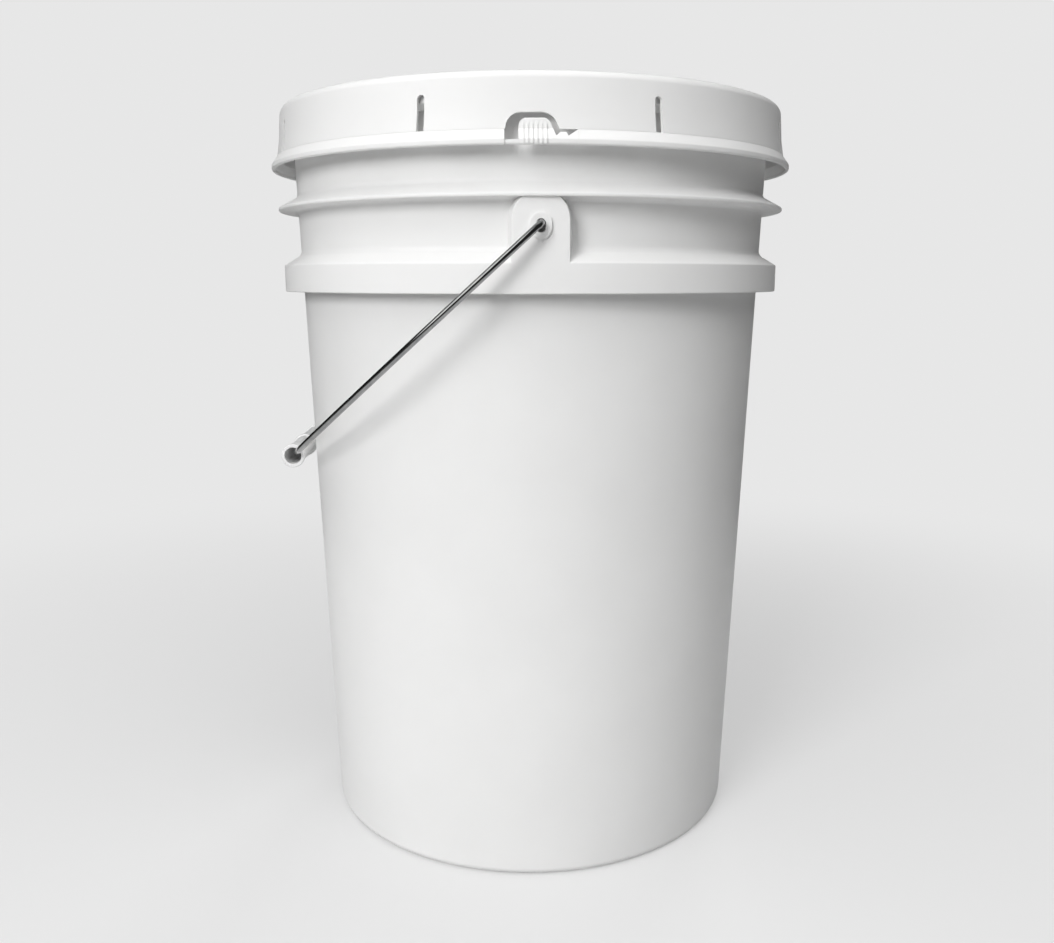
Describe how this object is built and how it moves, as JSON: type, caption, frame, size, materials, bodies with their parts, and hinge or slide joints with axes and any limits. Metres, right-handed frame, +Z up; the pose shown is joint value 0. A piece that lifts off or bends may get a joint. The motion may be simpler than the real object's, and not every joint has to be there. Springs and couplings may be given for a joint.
{
  "type": "plastic pail with lid",
  "caption": "Tall plastic pail with a stacking fin and a skirted band, a press-down tear-strip lid with a pull tab, and a wire bail with a tubular grip that swings over the lid.",
  "frame": {"origin": "middle of the base, on the plane the foot ring stands on", "axes": "+Z up along the pail's axis, +Y along the bail's axis from the front ear to the back ear, the bail hangs on the -X side and the pull tab faces -Y"},
  "size_m": [0.31, 0.3256, 0.43],
  "materials": {
    "pail_plastic": "white moulded polyethylene, smooth with a soft sheen",
    "lid_plastic": "white moulded polyethylene, smooth with a soft sheen",
    "gasket_rubber": "matt pale grey foamed rubber",
    "bail_steel": "drawn steel wire, zinc plated",
    "grip_plastic": "white moulded polyethylene"
  },
  "bodies": {
    "pail": {"pail_body": "pail_plastic"},
    "lid": {"lid": "lid_plastic", "tear_strip": "lid_plastic", "gasket": "gasket_rubber"},
    "tab": {"tear_tab": "lid_plastic"},
    "bail": {"bail_wire": "bail_steel"},
    "grip": {"handle_grip": "grip_plastic"}
  },
  "joints": [
    {"name": "lid_lift", "type": "slide", "parent": "pail", "child": "lid", "axis": [0, 0, 1], "range_m": [0, 0.15]},
    {"name": "tab_pull", "type": "hinge", "parent": "lid", "child": "tab", "pos_m": [0.0177, -0.15397, 0.3989], "axis": [0, 0, 1], "range_deg": [0, 70], "stiffness_Nm_per_rad": 0.02},
    {"name": "bail_swing", "type": "hinge", "parent": "pail", "child": "bail", "pos_m": [0, 0, 0.359], "axis": [0, 1, 0], "range_deg": [-0.6, 265]},
    {"name": "grip_spin", "type": "hinge", "parent": "bail", "child": "grip", "pos_m": [-0.14431, 0, 0.22803], "axis": [0, 1, 0], "continuous": true}
  ]
}
